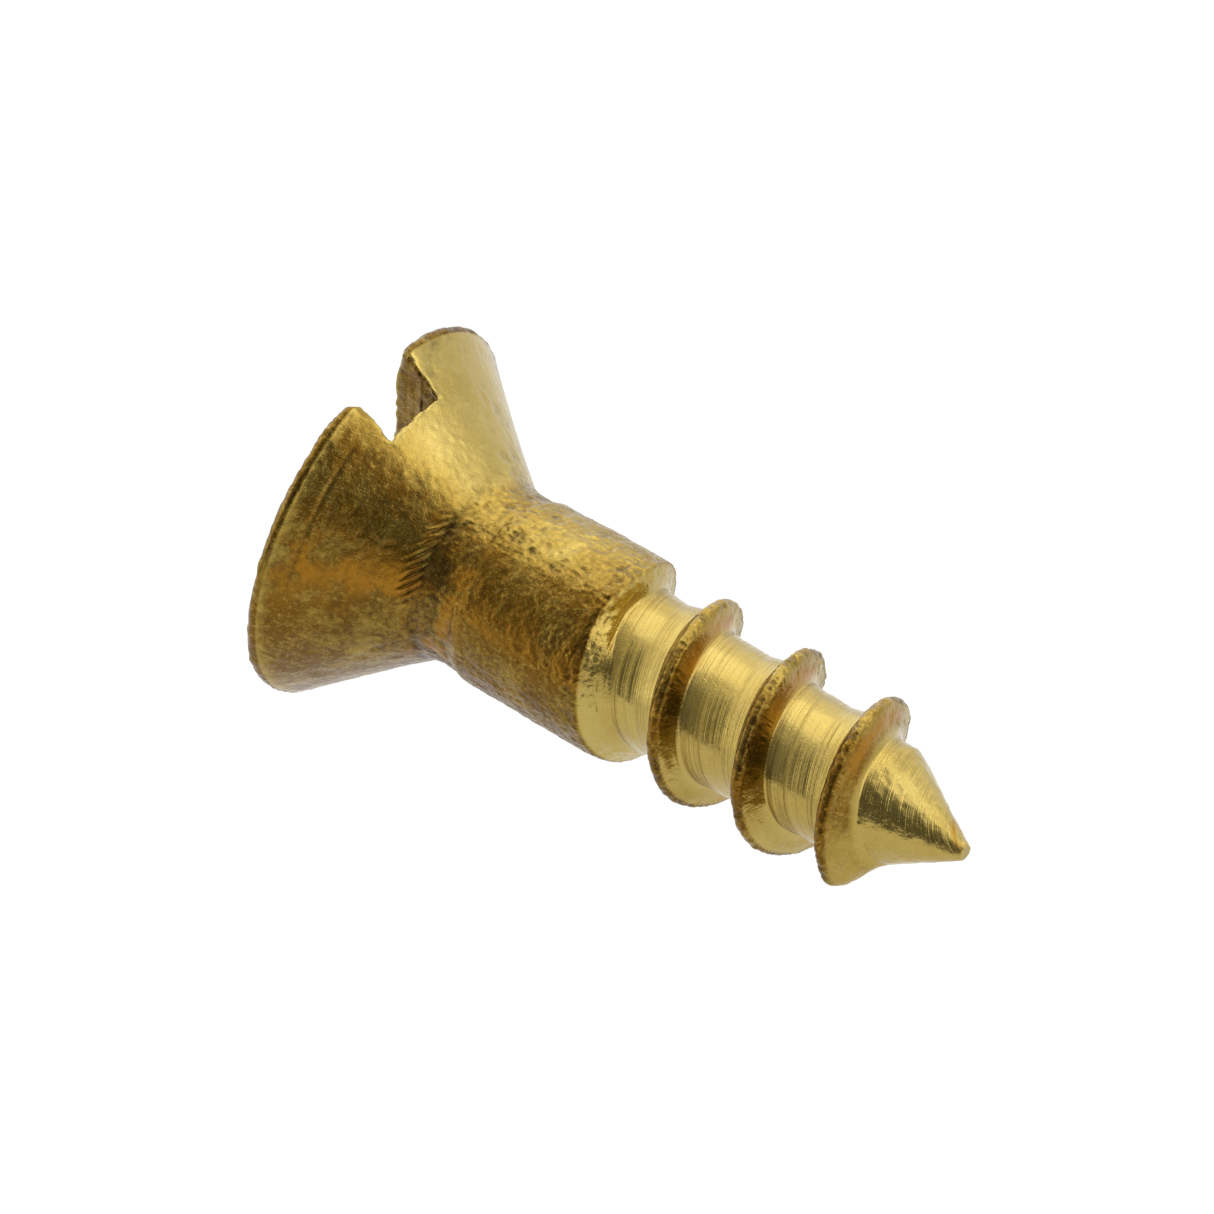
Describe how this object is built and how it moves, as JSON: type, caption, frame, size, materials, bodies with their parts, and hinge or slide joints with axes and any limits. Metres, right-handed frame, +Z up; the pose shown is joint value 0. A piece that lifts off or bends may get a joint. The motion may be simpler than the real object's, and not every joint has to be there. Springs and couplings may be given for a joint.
{
  "type": "wood screw",
  "caption": "Small slotted countersunk wood screw of solid brass, with a plain shank, a coarse right-hand thread and a cone point.",
  "frame": {"origin": "on the table under the middle of the lying screw's box", "axes": "+X along the screw from head to point, +Y square to the slot's walls, +Z up from the table that the screw lies on; the screw's own axis sinks 10 degrees towards the point, because it lies on its head's rim and a thread crest"},
  "size_m": [0.006, 0.003, 0.003],
  "materials": {
    "brass": "bare brass, turned and cut, with a light brown tarnish in the hollows and small dents and scratches from handling in bulk"
  },
  "bodies": {
    "root": {"wood_screw": "brass"}
  },
  "joints": []
}
